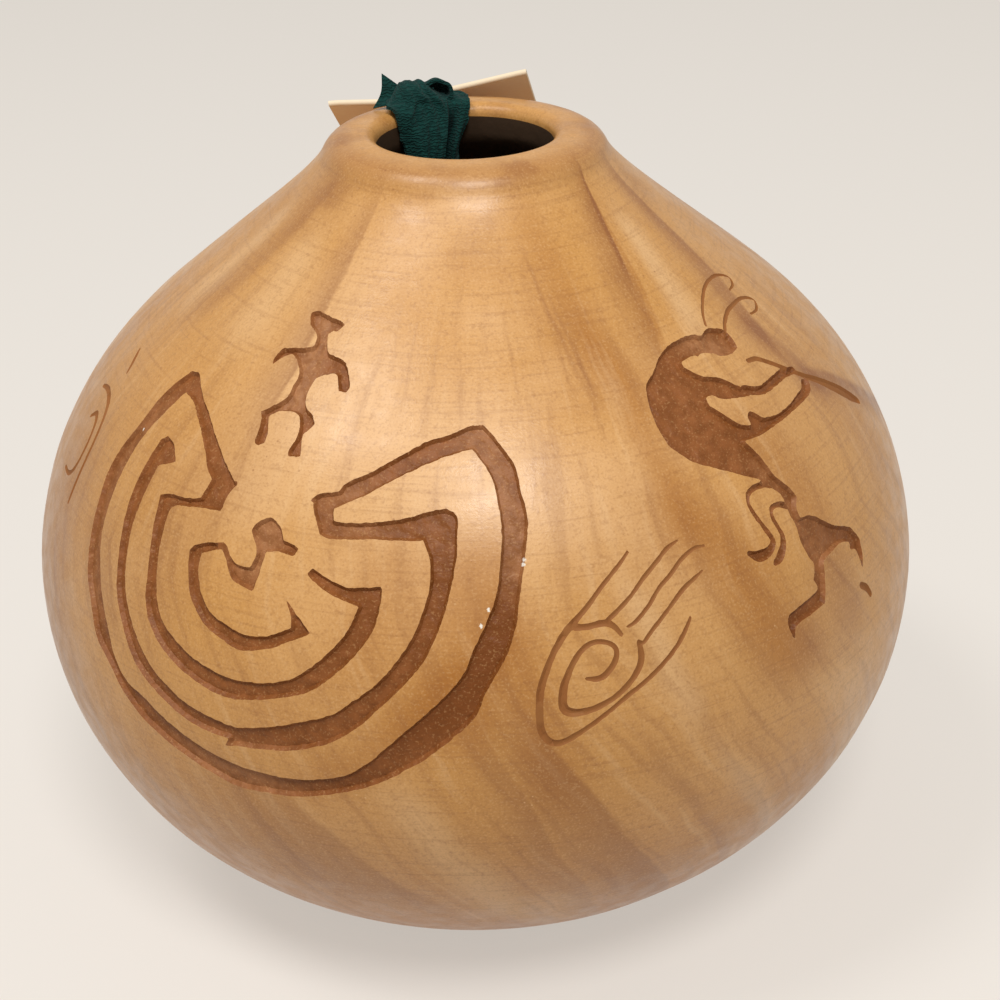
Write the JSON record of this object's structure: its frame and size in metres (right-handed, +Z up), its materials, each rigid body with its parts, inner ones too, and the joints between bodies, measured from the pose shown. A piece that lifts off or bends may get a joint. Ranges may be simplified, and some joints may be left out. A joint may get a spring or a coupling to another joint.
{
  "type": "engraved pottery vase",
  "caption": "Squat, burnished clay vase with a narrow rounded mouth and carved figures, a cloth tie over its lip and a folded card tag on the tie.",
  "frame": {"origin": "Middle of the vase's flat foot, on the surface that it stands on.", "axes": "+Z up along the vase's turning axis, -Y towards the front with the carved figures, +X to the right seen from the front."},
  "size_m": [0.19, 0.19, 0.1696],
  "materials": {
    "clay": "burnished, satin, with brown stain bands",
    "cloth": "crinkled, matt",
    "card": "uncoated, matt"
  },
  "bodies": {
    "vase": {"vase_body": "clay"},
    "tie": {"tie_drop": "cloth", "tie_knot": "cloth", "tie_short_end": "cloth", "tie_loop": "cloth"},
    "tag_front": {"tag_front_leaf": "card"},
    "tag_back": {"tag_back_leaf": "card"}
  },
  "joints": [
    {"name": "tie_lift", "type": "slide", "parent": "vase", "child": "tie", "axis": [0, 0, 1], "range_m": [0, 0.07]},
    {"name": "tag_swing", "type": "hinge", "parent": "tie", "child": "tag_front", "pos_m": [-0.00691, 0.03028, 0.16179], "axis": [0.9856, -0.0689, 0.1547], "range_deg": [0, 60]},
    {"name": "tag_fold", "type": "hinge", "parent": "tag_front", "child": "tag_back", "pos_m": [-0.00691, 0.03028, 0.16179], "axis": [0.9856, -0.0689, 0.1547], "range_deg": [0, 110]}
  ]
}
